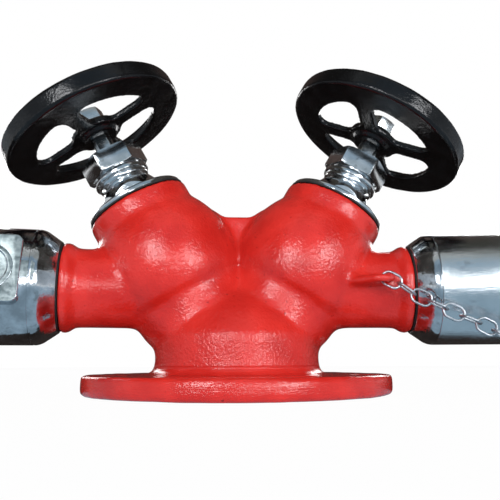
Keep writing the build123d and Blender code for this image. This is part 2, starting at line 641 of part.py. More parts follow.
# ================================================================ plungers, in the plunger frame
def plunger():
    shoulder = POCKET_FLOOR + LOOSE / 2
    top = shoulder + PLUNGER_FLANGE_T
    nose_r = PLUNGER_R - FIT
    return turned((0, PLUNGER_TIP), (nose_r - PLUNGER_NOSE, PLUNGER_TIP), (nose_r, PLUNGER_TIP + PLUNGER_NOSE),
                  (nose_r, shoulder),
                  (PLUNGER_FLANGE_R, shoulder), (PLUNGER_FLANGE_R, top), (PLUNGER_CUP_R, top),
                  (PLUNGER_CUP_R, PLUNGER_TIP + PLUNGER_END_T), (0, PLUNGER_TIP + PLUNGER_END_T))


def plunger_plug():
    """Screwed plug over the plunger, dished, with a hole for the release key."""
    dish = PLUG_FACE - PLUG_DISH
    roof = dish - PLUG_WALL
    skirt_r = POCKET_R - THREAD_FIT
    return turned((KEY_HOLE_R, roof), (POCKET_R - PLUG_SKIRT_WALL, roof),
                  (POCKET_R - PLUG_SKIRT_WALL, roof - PLUG_SKIRT), (skirt_r, roof - PLUG_SKIRT),
                  (skirt_r, PLUG_SEAT), (PLUG_R, PLUG_SEAT), (PLUG_R, PLUG_FACE), (POCKET_R, PLUG_FACE),
                  (POCKET_R - PLUG_BEVEL, dish), (KEY_HOLE_R, dish))


def plunger_spring():
    low = PLUNGER_TIP + PLUNGER_END_T + SPRING_WIRE_R + LOOSE
    high = PLUG_FACE - PLUG_DISH - PLUG_WALL - SPRING_WIRE_R - LOOSE
    path = Helix((high - low) / SPRING_COILS, high - low, SPRING_R, center=(0, 0, low))
    return sweep(Plane(path @ 0, z_dir=path % 0) * Circle(SPRING_WIRE_R), path)


# ================================================================ blank cap and chain
def outlet_nose():
    """Right outlet's fitting: shoulder, then a plain nose that the blank cap is pushed over."""
    step = GROOVE_AT - GROOVE_W / 2
    groove_r = ORING_OUT_R - 2 * ORING_R - FIT
    outer_r = COUPLING_R + 1
    body = shoulder(NOSE_END) - tube(NOSE_R, outer_r, step, NOSE_END + 1)
    body -= tube(groove_r, outer_r, ORING_AT - ORING_R - ORING_ROOM, ORING_AT + ORING_R + ORING_ROOM)
    body -= turned((NOSE_R - NOSE_LEAD, NOSE_END), (NOSE_R, NOSE_END - NOSE_LEAD), (outer_r, NOSE_END - NOSE_LEAD),
                   (outer_r, NOSE_END + 1), (NOSE_R - NOSE_LEAD, NOSE_END + 1))
    return body - spigot_bore(NOSE_BORE_FROM + 1) - rod(NOSE_BORE_R, NOSE_BORE_FROM, NOSE_END + 1)


def blank_cap():
    """Cup over the nose, its end rounded, with an ear for the chain."""
    low = GROOVE_AT - GROOVE_W / 2 + LOOSE
    floor = CAP_END - CAP_END_T
    cap = turned((0, floor), (CAP_BORE_R, floor), (CAP_BORE_R, low), (COUPLING_R, low), (COUPLING_R, CAP_END), (0, CAP_END))
    cap = fillet(circles(cap, COUPLING_R, CAP_END), CAP_ROUND)
    cap = fillet(circles(cap, COUPLING_R, low), CAP_EDGE_R)
    ear = SlotCenterToCenter(EAR_R * 2, EAR_R * 2) - Pos(EAR_R, 0) * Circle(EAR_HOLE_R)
    ear = extrude(Plane.XY.offset(EAR_LOW) * ear, EAR_T)
    ear = fillet([edge for radius in (EAR_R, EAR_HOLE_R) for height in (EAR_LOW, EAR_LOW + EAR_T)
                  for edge in circles(ear, radius, height)], EAR_ROUND)
    return cap + Rot(0, 0, EAR_TURN) * Pos(EAR_AT - EAR_R, 0, 0) * ear


def cap_oring():
    """Rubber ring in the nose's groove that holds the cap on."""
    return Pos(0, 0, ORING_AT) * Torus(ORING_OUT_R - ORING_R, ORING_R)


def chain_stations():
    """Points where neighbouring links bear on each other, one pitch apart along the route."""
    eye = Vector(*LUG_CENTRE)
    away = Vector(CHAIN_ROUTE[0][0] - eye.X, CHAIN_ROUTE[0][1] - eye.Y, 0).normalized()
    outlet = outlet_frame(SIDES["right"])
    down = outlet.x_dir * cos(radians(EAR_TURN)) + outlet.y_dir * sin(radians(EAR_TURN))
    start = eye + away * (LUG_HOLE_R - EYE_SLACK["lug"]) + Vector(0, 0, LUG_RISE)
    end = (outlet.origin + outlet.z_dir * (EAR_LOW + EAR_T / 2)
           + down * (EAR_AT + EAR_HOLE_R - EYE_SLACK["ear"]))
    route = Spline(start, *[Vector(*point) for point in CHAIN_ROUTE], end)
    fine = [route @ (i / 2000) for i in range(2001)]
    short, long = 0.0, route.length
    while long - short > 1e-3:
        pitch = (short + long) / 2
        stations = [start]
        for point in fine:
            if (point - stations[-1]).length >= pitch:
                stations.append(point)
        if len(stations) > CHAIN_LINKS:
            short = pitch
        else:
            long = pitch
    return stations[:CHAIN_LINKS] + [end], outlet.z_dir


def chain_link(length):
    """Closed oval of wire about the origin, its long axis along X, flat in XY."""
    path = SlotOverall(length + 2 * WIRE_R, LINK_W - 2 * WIRE_R)
    wire = path.wire().moved(Location((0, 0, 0)))
    section = Plane(wire @ 0, z_dir=wire % 0) * Circle(WIRE_R)
    return sweep(section, wire)


def cap_chain():
    """Oval wire links, each turned a quarter against the last."""
    stations, outlet = chain_stations()
    links = []
    for i in range(CHAIN_LINKS):
        start, end = stations[i], stations[i + 1]
        along = (end - start).normalized()
        share = i / (CHAIN_LINKS - 1)
        upright = Vector(0, 0, 1) * (1 - share) + outlet * share
        normal = along.cross(upright).normalized()
        if i % 2:
            normal = along.cross(normal).normalized()
        frame = Plane((start + end) / 2, x_dir=along, z_dir=normal)
        links.append(frame.location * chain_link((end - start).length + 2 * LINK_PLAY))
    return Compound(children=[link.solid() for link in links])


# ================================================================ the whole assembly
def assembly():
    parts = {"body_casting": body_casting()}
    for name, side in SIDES.items():
        branch = branch_frame(side)
        in_branch = {"seat_ring": seat_ring(), "valve_disc": valve_disc(), "disc_retainer": disc_retainer(),
                     "disc_seal": disc_seal(), "seal_plate": seal_plate(), "seal_nut": seal_nut(),
                     "spindle": spindle(), "bonnet": bonnet(), "bonnet_gasket": bonnet_gasket(),
                     "gland_packing": gland_packing(), "gland_follower": gland_follower(),
                     "gland_nut": gland_nut(HEX_TURN[name]), "handwheel": handwheel(SPOKE_TURN[name]),
                     "wheel_washer": wheel_washer(), "wheel_nut": wheel_nut()}
        for piece, shape in in_branch.items():
            parts[f"{piece}_{name}"] = placed(branch, shape)
        parts[f"joint_ring_{name}"] = placed(outlet_frame(side), joint_ring())
    left, right = outlet_frame(SIDES["left"]), outlet_frame(SIDES["right"])
    parts["coupling"] = placed(left, coupling())
    parts["coupling_seal"] = placed(left, coupling_seal())
    plugs = []
    for seat, turn in PLUNGER_TURN.items():
        frame = plunger_frame(SIDES["left"], turn)
        parts[f"plunger_{seat}"] = placed(frame, plunger())
        parts[f"plunger_spring_{seat}"] = placed(frame, plunger_spring())
        plugs.append(placed(frame, plunger_plug()).solid())
    parts["plunger_plugs"] = Compound(children=plugs)
    parts["outlet_nose"] = placed(right, outlet_nose())
    parts["cap_oring"] = placed(right, cap_oring())
    parts["blank_cap"] = placed(right, blank_cap())
    parts["cap_chain"] = cap_chain()
    return parts


os.makedirs("parts", exist_ok=True)
for node, shape in assembly().items():
    export_step(shape, f"parts/{node}.step")
    print(node, len(shape.solids()), "solids", round(shape.volume), "mm3")
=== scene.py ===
# %% [markdown]
# A double-headed hydrant valve. One red casting carries two screw-down valves that lean
# outwards, each with a black handwheel. One outlet ends in a polished hose socket, the other
# in a satin blank cap on a chain. The imported CAD part is loaded first and stays fixed. Most
# pieces made below sit on it and move with one of its bodies, so that the valves can open and
# the cap can be pulled; the plunger springs and the chain are plain copies that move with none.

# %% Load the fixed frame
import json
import math

import bpy
import numpy as np
from mathutils import Matrix, Vector


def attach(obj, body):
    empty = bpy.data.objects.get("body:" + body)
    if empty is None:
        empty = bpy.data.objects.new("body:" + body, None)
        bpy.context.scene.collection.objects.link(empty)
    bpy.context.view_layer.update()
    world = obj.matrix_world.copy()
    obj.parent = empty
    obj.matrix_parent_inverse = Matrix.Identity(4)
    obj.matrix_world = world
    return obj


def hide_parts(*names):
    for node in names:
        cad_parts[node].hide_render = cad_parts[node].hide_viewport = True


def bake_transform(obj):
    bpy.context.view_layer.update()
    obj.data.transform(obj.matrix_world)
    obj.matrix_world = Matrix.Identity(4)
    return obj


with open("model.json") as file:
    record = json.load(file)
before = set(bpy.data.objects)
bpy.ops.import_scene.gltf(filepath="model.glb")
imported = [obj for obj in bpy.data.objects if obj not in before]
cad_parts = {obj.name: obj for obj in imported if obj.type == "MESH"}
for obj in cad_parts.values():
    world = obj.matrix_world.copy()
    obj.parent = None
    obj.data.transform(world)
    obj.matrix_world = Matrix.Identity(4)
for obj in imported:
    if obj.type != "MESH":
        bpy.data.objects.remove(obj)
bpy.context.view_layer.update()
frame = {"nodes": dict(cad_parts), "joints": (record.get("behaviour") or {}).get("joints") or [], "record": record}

CAD = frame["nodes"]
SIDES = {"left": -1, "right": 1}        # which way each valve leans along X
MM = 0.001

# %% [markdown]
# Every operator works on what is selected, so a few small helpers come first: one that
# selects only the pieces named, one that copies a CAD node into a clean, welded mesh that
# may be changed, and one that gives a finished piece its material, attaches it to what it
# moves with and hides the CAD nodes it stands for.
# A CAD mesh is loose triangles; merging its doubles makes one skin of them, which the
# remesh, bevel and smoothing tools all need.

# %% Helpers for selecting, copying and finishing pieces
WELD = 0.004 * MM       # points nearer to each other than this are one


def select_only(*pieces):
    """Leave edit mode, select just these pieces and make the last one active."""
    if bpy.context.object and bpy.context.object.mode != "OBJECT":
        bpy.ops.object.mode_set(mode="OBJECT")
    bpy.ops.object.select_all(action="DESELECT")
    for piece in pieces:
        piece.hide_viewport = False
        piece.select_set(True)
    bpy.context.view_layer.objects.active = pieces[-1]


def apply_modifier(piece, kind, **settings):
    select_only(piece)
    modifier = piece.modifiers.new(kind.title(), kind)
    for name, value in settings.items():
        setattr(modifier, name, value)
    bpy.ops.object.modifier_apply(modifier=modifier.name)


def welded_copy(node, name):
    """A CAD node's mesh as a new piece, its triangles joined into one skin."""
    piece = bpy.data.objects.new(name, CAD[node].data.copy())
    bpy.context.scene.collection.objects.link(piece)
    piece.data.materials.clear()
    select_only(piece)
    if piece.data.has_custom_normals:
        bpy.ops.mesh.customdata_custom_splitnormals_clear()
    bpy.ops.object.mode_set(mode="EDIT")
    bpy.ops.mesh.select_all(action="SELECT")
    bpy.ops.mesh.remove_doubles(threshold=WELD)
    bpy.ops.object.mode_set(mode="OBJECT")
    return piece


def finish_piece(piece, body, slot, material, *stands_for):
    """Give a piece its material, attach it to the body that moves it, and hide the CAD nodes it stands for."""
    piece.data.materials.clear()
    piece.data.materials.append(material)
    if stands_for:
        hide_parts(*stands_for)
    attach(piece, body)


# %% [markdown]
# The stem of each valve leans 30 degrees outwards, and the outlets are swept 8 degrees
# towards the front. Nothing could be placed by X, Y and Z alone without a calculation each
# time, so a small matrix for each stem and outlet gives places along it: Z runs out along
# it, as it does when such a part is turned on a lathe. The stems' axes come from the joints.

# %% Axes of the stems and the outlets
OUTLET_HEIGHT = 77 * MM
OUTLET_SWEEP = math.radians(8)


def axes_matrix(origin, out, upright):
    """Axes at an origin: Z runs along out, and X leans as near to upright as it can."""
    z = Vector(out).normalized()
    x = (Vector(upright) - z * z.dot(Vector(upright))).normalized()
    y = z.cross(x)
    return Matrix.Translation(Vector(origin)) @ Matrix((x, y, z)).transposed().to_4x4()


JOINTS = {joint["name"]: joint for joint in frame["joints"]}
STEM = {}
OUTLET = {}
for name, side in SIDES.items():
    turn = JOINTS[f"wheel_turn_{name}"]
    STEM[name] = axes_matrix(turn["pos_m"], turn["axis"], (1, 0, 0))
    out = (side * math.cos(OUTLET_SWEEP), -math.sin(OUTLET_SWEEP), 0)
    OUTLET[name] = axes_matrix((0, 0, OUTLET_HEIGHT), out, (0, 0, 1))
print("bonnet rims at", [tuple(round(v, 4) for v in STEM[name].translation) for name in SIDES])

# %% [markdown]
# Bought and turned pieces come out of the CAD with perfectly sharp corners. On the real ones
# a file or a polishing wheel has taken each corner off, and that thin bright line is what
# tells the eye it is metal. Flat faces are first made whole again, a small bevel then goes
# on every corner over 25 degrees, and smooth shading by angle keeps the flats flat. Each
# point also stores how far along its own axis it lies, for the fine rings that a lathe leaves.

# %% Turned and milled pieces from the CAD
FLAT_WITHIN = math.radians(0.7)     # triangles that differ by less than this are one flat face
CORNER_OVER = math.radians(25)      # a bevel goes on every corner sharper than this
SMOOTH_UNDER = math.radians(30)


def axial_attribute(piece, axes):
    """Store each point's distance along the Z of axes, in metres, under the name along."""
    places = np.empty(len(piece.data.vertices) * 3)
    piece.data.vertices.foreach_get("co", places)
    origin, out = np.array(axes.translation), np.array(axes.col[2][:3])
    attribute = piece.data.attributes.new("along", "FLOAT", "POINT")
    attribute.data.foreach_set("value", (places.reshape(-1, 3) - origin) @ out)


def machined_from_cad(node, name, edge, axes):
    """A copy of a CAD node with a small bevel, edge wide, on each of its corners."""
    piece = welded_copy(node, name)
    apply_modifier(piece, "DECIMATE", decimate_type="DISSOLVE", angle_limit=FLAT_WITHIN)
    apply_modifier(piece, "BEVEL", width=edge, segments=2, limit_method="ANGLE",
                   angle_limit=CORNER_OVER, miter_outer="MITER_ARC")
    axial_attribute(piece, axes)
    select_only(piece)
    bpy.ops.object.shade_smooth_by_angle(angle=SMOOTH_UNDER)
    return piece


# %% [markdown]
# Every finish on the valve is built from nodes, so it needs no image file and works at any
# distance. The same few steps come back in all of them: a noise, a sum or product, a mask
# spread over a new range, two colours mixed. Each gets a helper of a line or two, so that
# the materials below read as a recipe.

# %% Node helpers
def add_node(tree, kind, **inputs):
    node = tree.nodes.new(kind)
    for key, value in inputs.items():
        name = key.replace("_", " ")
        if name in node.inputs:
            node.inputs[name].default_value = value
        else:
            setattr(node, key, value)
    return node


def noise(tree, place, scale, detail=3.0, roughness=0.5):
    node = add_node(tree, "ShaderNodeTexNoise", Scale=scale, Detail=detail, Roughness=roughness)
    tree.links.new(place, node.inputs["Vector"])
    return node.outputs["Fac"]


def math_node(tree, operation, first, second):
    node = tree.nodes.new("ShaderNodeMath")
    node.operation = operation
    for socket, value in zip(node.inputs, (first, second)):
        if isinstance(value, (int, float)):
            socket.default_value = value
        else:
            tree.links.new(value, socket)
    return node.outputs[0]


def map_range(tree, value, low, high, to_low, to_high):
    node = add_node(tree, "ShaderNodeMapRange")
    for key, number in (("From Min", low), ("From Max", high), ("To Min", to_low), ("To Max", to_high)):
        node.inputs[key].default_value = number
    tree.links.new(value, node.inputs["Value"])
    return node.outputs["Result"]


def stretched(tree, place, scale, turn=0.0):
    """Coordinates for a pattern that is drawn out along one direction, turned about Z first."""
    along = add_node(tree, "ShaderNodeMapping", vector_type="POINT")
    along.inputs["Rotation"].default_value = (0, 0, turn)
    along.inputs["Scale"].default_value = scale
    tree.links.new(place, along.inputs["Vector"])
    return along.outputs["Vector"]


def mix_colour(tree, factor, first, second):
    """Two colours, each a plain one or another node's output, mixed by a mask."""
    node = tree.nodes.new("ShaderNodeMix")
    node.data_type = "RGBA"
    tree.links.new(factor, node.inputs["Factor"])
    for socket, colour in ((node.inputs[6], first), (node.inputs[7], second)):
        if isinstance(colour, tuple):
            socket.default_value = (*colour, 1)
        else:
            tree.links.new(colour, socket)
    return node.outputs[2]


def new_group(name, inputs, outputs):
    group = bpy.data.node_groups.new(name, "ShaderNodeTree")
    for title, kind, value in inputs:
        socket = group.interface.new_socket(title, in_out="INPUT", socket_type=kind)
        if value is not None:
            socket.default_value = value
    for title, kind in outputs:
        group.interface.new_socket(title, in_out="OUTPUT", socket_type=kind)
    return group, group.nodes.new("NodeGroupInput"), group.nodes.new("NodeGroupOutput")


def use_group(tree, group, vector=None, **values):
    node = tree.nodes.new("ShaderNodeGroup")
    node.node_tree = group
    if vector is not None:
        tree.links.new(vector, node.inputs["Vector"])
    for key, value in values.items():
        node.inputs[key.replace("_", " ")].default_value = value
    return node


# %% [markdown]
# The body is cast iron under thick glossy enamel, brushed on. The enamel follows the sand
# texture of the casting, so its highlights break up into speckles. A painted bump map could
# show that, but it would have to be unwrapped over the whole casting. Noise in the piece's
# own coordinates needs no seams, so one node group makes the skin from it: slow waves, an
# orange peel a couple of millimetres across, and sand grains, added up. It gives a height
# for the Bump node and masks for the colour and gloss.

# %% The cast skin group
GRAINS_PER_PEEL = 2.7

CAST_SKIN, cast_in, cast_out = new_group(
    "cast skin",
    [("Vector", "NodeSocketVector", None), ("Wave Scale", "NodeSocketFloat", 45.0),
     ("Peel Scale", "NodeSocketFloat", 430.0), ("Peel Share", "NodeSocketFloat", 0.5),
     ("Grain Share", "NodeSocketFloat", 0.2)],
    [("Height", "NodeSocketFloat"), ("Mottle", "NodeSocketFloat"), ("Grain", "NodeSocketFloat")])
waves = add_node(CAST_SKIN, "ShaderNodeTexNoise", Detail=2.0, Roughness=0.45)
peel = add_node(CAST_SKIN, "ShaderNodeTexNoise", Detail=1.5, Roughness=0.5)
grains = add_node(CAST_SKIN, "ShaderNodeTexNoise", Detail=2.0, Roughness=0.6)
CAST_SKIN.links.new(cast_in.outputs["Wave Scale"], waves.inputs["Scale"])
CAST_SKIN.links.new(cast_in.outputs["Peel Scale"], peel.inputs["Scale"])
grain_scale = math_node(CAST_SKIN, "MULTIPLY", cast_in.outputs["Peel Scale"], GRAINS_PER_PEEL)
CAST_SKIN.links.new(grain_scale, grains.inputs["Scale"])
for texture in (waves, peel, grains):
    CAST_SKIN.links.new(cast_in.outputs["Vector"], texture.inputs["Vector"])
shares = [math_node(CAST_SKIN, "MULTIPLY", texture.outputs["Fac"], cast_in.outputs[share])
          for texture, share in ((peel, "Peel Share"), (grains, "Grain Share"))]
height = math_node(CAST_SKIN, "ADD", waves.outputs["Fac"], math_node(CAST_SKIN, "ADD", *shares))
CAST_SKIN.links.new(height, cast_out.inputs["Height"])
CAST_SKIN.links.new(waves.outputs["Fac"], cast_out.inputs["Mottle"])
CAST_SKIN.links.new(grains.outputs["Fac"], cast_out.inputs["Grain"])
print("nodes in the cast skin:", len(CAST_SKIN.nodes))


# %% [markdown]
# Enamel is a colour, a gloss and that skin. The red varies a little where the coat is thick
# or thin, and a few pits hold soot. The foot of the body is rougher than the rest, because
# the neck is left as it comes from the sand, and the flange's edge was turned before it was
# painted, so fine rings run round it. Height above the floor tells the three places apart.

# %% Enamel over the cast skin
NECK_FROM, NECK_TO = 36 * MM, 58 * MM           # the rough foot fades out between these heights
RIM_FROM, RIM_TO = 18.5 * MM, 20.5 * MM         # the top of the flange's turned edge
TURNED_DEPTH, RING_DEPTH = 0.45, 0.16           # share of the skin and of the rings on that edge
RING_STRETCH = (60, 60, 1500)                   # noise scale along the rings and across them
PIT_SCALE, PIT_FROM, PIT_TO = 210, 0.66, 0.74   # where this noise is high, the paint has a pit


def new_material(name):
    material = bpy.data.materials.new(name)
    material.use_nodes = True
    tree = material.node_tree
    shader = tree.nodes["Principled BSDF"]
    place = tree.nodes.new("ShaderNodeTexCoord").outputs["Object"]
    return material, tree, shader, place


def bump(tree, shader, height, distance):
    node = add_node(tree, "ShaderNodeBump", Strength=1.0, Distance=distance)
    tree.links.new(height, node.inputs["Height"])
    tree.links.new(node.outputs["Normal"], shader.inputs["Normal"])


def enamel(name, dark, light, soot, skin_values, depth, roughness, specular, rough_foot=None):
    """Thick gloss paint on a casting: its colours, how coarse and deep its skin is, its gloss.
    rough_foot deepens the skin near the flange, where the casting was not fettled."""
    material, tree, shader, place = new_material(name)
    skin = use_group(tree, CAST_SKIN, place, **skin_values)
    paint = mix_colour(tree, map_range(tree, skin.outputs["Mottle"], 0.36, 0.64, 0, 1), dark, light)
    pits = map_range(tree, noise(tree, place, PIT_SCALE, 4, 0.65), PIT_FROM, PIT_TO, 0, 1)
    tree.links.new(mix_colour(tree, pits, paint, soot), shader.inputs["Base Color"])
    tree.links.new(map_range(tree, skin.outputs["Grain"], 0.3, 0.7, roughness * 0.7, roughness * 1.4),
                   shader.inputs["Roughness"])
    height = skin.outputs["Height"]
    if rough_foot:
        up = tree.nodes.new("ShaderNodeSeparateXYZ")
        tree.links.new(place, up.inputs["Vector"])
        foot = map_range(tree, up.outputs["Z"], NECK_FROM, NECK_TO, 1, 0)
        flange = map_range(tree, up.outputs["Z"], RIM_FROM, RIM_TO, 1, 0)
        neck = math_node(tree, "SUBTRACT", foot, flange)
        as_cast = map_range(tree, neck, 0, 1, 1.0, rough_foot)
        turned = map_range(tree, flange, 0, 1, 1.0, TURNED_DEPTH)
        height = math_node(tree, "MULTIPLY", math_node(tree, "MULTIPLY", height, as_cast), turned)
        streaks = noise(tree, stretched(tree, place, RING_STRETCH), 1.0, 3, 0.6)
        on_edge = math_node(tree, "MULTIPLY", streaks, map_range(tree, flange, 0, 1, 0.0, RING_DEPTH))
        height = math_node(tree, "ADD", height, on_edge)
    bump(tree, shader, height, depth)
    shader.inputs["Specular IOR Level"].default_value = specular
    return material


RED = enamel("red enamel", (0.500, 0.0160, 0.0115), (0.620, 0.0270, 0.0200), (0.22, 0.006, 0.005),
             {"Wave_Scale": 40, "Peel_Scale": 500, "Peel_Share": 0.33, "Grain_Share": 0.12},
             depth=1.1 * MM, roughness=0.11, specular=0.6, rough_foot=1.55)
BLACK = enamel("black enamel", (0.0022, 0.0022, 0.0026), (0.005, 0.0053, 0.006), (0.012, 0.012, 0.012),
               {"Wave_Scale": 70, "Peel_Scale": 620, "Peel_Share": 0.24, "Grain_Share": 0.08},
               depth=0.8 * MM, roughness=0.14, specular=0.35)
print("enamels:", RED.name, "and", BLACK.name)


# %% [markdown]
# The fittings are plated or polished metal. A mirror finish is never quite even: it has soft
# clouds where the polishing wheel pressed harder, fine rings from the lathe, and a few dull
# spots. Rings could be a wave texture, but a wave needs one axis for all pieces, and here
# each leans its own way. So the rings are one-dimensional noise that follows the stored
# distance along the axis, and run round each piece however it is turned.

# %% The lathe skin group
LATHE_SKIN, lathe_in, lathe_out = new_group(
    "lathe skin",
    [("Vector", "NodeSocketVector", None), ("Along", "NodeSocketFloat", 0.0),
     ("Ring Scale", "NodeSocketFloat", 1500.0), ("Cloud Scale", "NodeSocketFloat", 70.0),
     ("Ring Share", "NodeSocketFloat", 0.5)],
    [("Height", "NodeSocketFloat"), ("Cloud", "NodeSocketFloat"), ("Scratch", "NodeSocketFloat")])
rings = add_node(LATHE_SKIN, "ShaderNodeTexNoise", noise_dimensions="1D", Detail=3.0, Roughness=0.6)
clouds = add_node(LATHE_SKIN, "ShaderNodeTexNoise", Detail=3.0, Roughness=0.55)
LATHE_SKIN.links.new(lathe_in.outputs["Along"], rings.inputs["W"])
LATHE_SKIN.links.new(lathe_in.outputs["Ring Scale"], rings.inputs["Scale"])
LATHE_SKIN.links.new(lathe_in.outputs["Vector"], clouds.inputs["Vector"])
LATHE_SKIN.links.new(lathe_in.outputs["Cloud Scale"], clouds.inputs["Scale"])
ring_share = math_node(LATHE_SKIN, "MULTIPLY", rings.outputs["Fac"], lathe_in.outputs["Ring Share"])
height = math_node(LATHE_SKIN, "ADD", ring_share, clouds.outputs["Fac"])
LATHE_SKIN.links.new(height, lathe_out.inputs["Height"])
LATHE_SKIN.links.new(clouds.outputs["Fac"], lathe_out.inputs["Cloud"])
LATHE_SKIN.links.new(rings.outputs["Fac"], lathe_out.inputs["Scratch"])
print("nodes in the lathe skin:", len(LATHE_SKIN.nodes))


# %% [markdown]
# One recipe covers all the metals: polished gland nuts and bonnets, the mirror plate of the
# hose socket, its shot-blasted flats, the satin cap, brass-coloured inner parts, zinc wire
# and plated steel. They differ in colour, in how deep the skin is and in how rough the
# dull places are. The cap is brushed along its length, so its noise is drawn out that way.
# Rubber, gasket sheet and packing are dull, and get a plain cloudy surface.

# %% How a metal and a dull surface are built
BRUSH_STRETCH = (14, 950, 950)      # noise scale along the brushing and across it
BRUSH_SHARE = 2.2
SPOT_SCALE, SPOT_FROM, SPOT_TO, SPOT_FULL = 130, 0.60, 0.72, 0.7    # the tarnish never covers fully
SCRATCH_SHARE = 0.5


def metal(name, dark, light, tarnish, skin_values, depth, smooth, rough, brushed=None):
    """Bare or plated metal: the two ends of its colour, its spots, how its skin is laid and how
    deep it is in metres, and the two ends of its roughness. brushed is the turn about Z of a
    lengthwise brushing."""
    material, tree, shader, place = new_material(name)
    shader.inputs["Metallic"].default_value = 1.0
    skin = use_group(tree, LATHE_SKIN, place, **skin_values)
    along = add_node(tree, "ShaderNodeAttribute", attribute_name="along")
    tree.links.new(along.outputs["Fac"], skin.inputs["Along"])
    clean = mix_colour(tree, map_range(tree, skin.outputs["Cloud"], 0.35, 0.65, 0, 1), dark, light)
    spots = map_range(tree, noise(tree, place, SPOT_SCALE, 5, 0.6), SPOT_FROM, SPOT_TO, 0, SPOT_FULL)
    tree.links.new(mix_colour(tree, spots, clean, tarnish), shader.inputs["Base Color"])
    scratches = math_node(tree, "MULTIPLY", skin.outputs["Scratch"], SCRATCH_SHARE)
    uneven = math_node(tree, "ADD", skin.outputs["Cloud"], scratches)
    tree.links.new(map_range(tree, uneven, 0.55, 0.95, smooth, rough), shader.inputs["Roughness"])
    height = skin.outputs["Height"]
    if brushed is not None:
        lines = noise(tree, stretched(tree, place, BRUSH_STRETCH, brushed), 1.0, 4, 0.65)
        height = math_node(tree, "ADD", height, math_node(tree, "MULTIPLY", lines, BRUSH_SHARE))
    bump(tree, shader, height, depth)
    return material


def dull(name, dark, light, roughness, depth, scale):
    """A plain cloudy surface, with bumps a quarter as wide as its clouds."""
    material, tree, shader, place = new_material(name)
    cloud = noise(tree, place, scale, 4)
    tree.links.new(mix_colour(tree, cloud, dark, light), shader.inputs["Base Color"])
    tree.links.new(map_range(tree, cloud, 0.3, 0.7, roughness * 0.85, roughness * 1.1),
                   shader.inputs["Roughness"])
    bump(tree, shader, noise(tree, place, scale * 4, 3), depth)
    return material


# %% The metals and the dull materials
POLISHED = metal("polished plate", (0.60, 0.62, 0.63), (0.80, 0.82, 0.84), (0.34, 0.33, 0.31),
                 {"Ring_Scale": 1400, "Cloud_Scale": 60, "Ring_Share": 0.5}, 0.05 * MM, 0.08, 0.22)
MIRROR = metal("mirror plate", (0.46, 0.48, 0.50), (0.76, 0.79, 0.82), (0.24, 0.23, 0.22),
               {"Ring_Scale": 700, "Cloud_Scale": 85, "Ring_Share": 0.12}, 0.42 * MM, 0.06, 0.20)
BLASTED = metal("blasted plate", (0.20, 0.235, 0.235), (0.40, 0.45, 0.45), (0.15, 0.17, 0.17),
                {"Ring_Scale": 700, "Cloud_Scale": 300, "Ring_Share": 0.1}, 0.22 * MM, 0.30, 0.48)
SATIN = metal("satin plate", (0.66, 0.70, 0.72), (0.78, 0.82, 0.84), (0.56, 0.58, 0.60),
              {"Ring_Scale": 1100, "Cloud_Scale": 26, "Ring_Share": 0.1}, 0.08 * MM, 0.16, 0.26, OUTLET_SWEEP)
GUNMETAL = metal("gunmetal", (0.50, 0.35, 0.18), (0.66, 0.48, 0.27), (0.30, 0.20, 0.11),
                 {"Ring_Scale": 1200, "Cloud_Scale": 120, "Ring_Share": 0.6}, 0.12 * MM, 0.26, 0.42)
ZINC = metal("bright zinc", (0.42, 0.43, 0.45), (0.60, 0.62, 0.65), (0.34, 0.34, 0.36),
             {"Ring_Scale": 1500, "Cloud_Scale": 260, "Ring_Share": 0.1}, 0.06 * MM, 0.22, 0.40)
STEEL = metal("plated steel", (0.58, 0.60, 0.60), (0.76, 0.78, 0.79), (0.36, 0.35, 0.33),
              {"Ring_Scale": 1500, "Cloud_Scale": 110, "Ring_Share": 0.4}, 0.10 * MM, 0.14, 0.30)
RUBBER = dull("rubber", (0.012, 0.012, 0.012), (0.03, 0.03, 0.03), 0.6, 0.08 * MM, 150)
GASKET = dull("gasket sheet", (0.006, 0.006, 0.006), (0.018, 0.017, 0.016), 0.75, 0.1 * MM, 200)
PACKING = dull("gland packing", (0.05, 0.05, 0.048), (0.16, 0.155, 0.15), 0.8, 0.3 * MM, 320)
print("materials so far:", sorted(material.name for material in bpy.data.materials))


# %% [markdown]
# Inner pieces such as the seat rings and discs keep their CAD shape, since only a cut-away
# or an open outlet shows them. Each CAD node takes the finish of its material slot here,
# and the pieces made later from a node take the same finish.

# %% A finish for every CAD node
FINISH = {"red_paint": RED, "black_paint": BLACK, "polished_gunmetal": POLISHED, "plated_coupling": MIRROR,
          "gunmetal": GUNMETAL, "plated_steel": STEEL, "spring_steel": STEEL, "zinc_wire": ZINC,
          "rubber": RUBBER, "gasket": GASKET, "packing": PACKING, "satin_cap": SATIN}
for part in frame["record"]["subparts"]:
    node = CAD[part["node"]]
    node.data.materials.clear()
    node.data.materials.append(FINISH[part["material_slot"]])


# %% [markdown]
# The casting came out of a sand mould, so nothing on it is sharp: where the chambers meet
# each other and the neck, the pattern maker leaves a fillet. The CAD body meets in clean
# creases. A voxel remesh turns its copy into an even skin, smoothing then rounds the
# creases as a sand mould would, and a slow noise makes the surface slightly uneven. The
# inner corners get the widest rounding, so they are found first: a point lies in a hollow
# when its neighbours stand proud of it, along its own normal. Smoothing with that mask as
# its vertex group fills the creases and leaves the rest of the skin where it is.

# %% Finding the hollows of a casting
HOLLOW_FROM, HOLLOW_TO = 0.05, 0.15     # depth of a crease in voxels: none below, full above
SPREAD_STEPS, SPREAD_GAIN = 4, 1.12     # how far the mask grows, and how much of it each step keeps
WEIGHT_STEPS = 20


def neighbour_mean(values, ends, counts):
    total = np.zeros_like(values)
    np.add.at(total, ends[:, 0], values[ends[:, 1]])
    np.add.at(total, ends[:, 1], values[ends[:, 0]])
    return total / counts


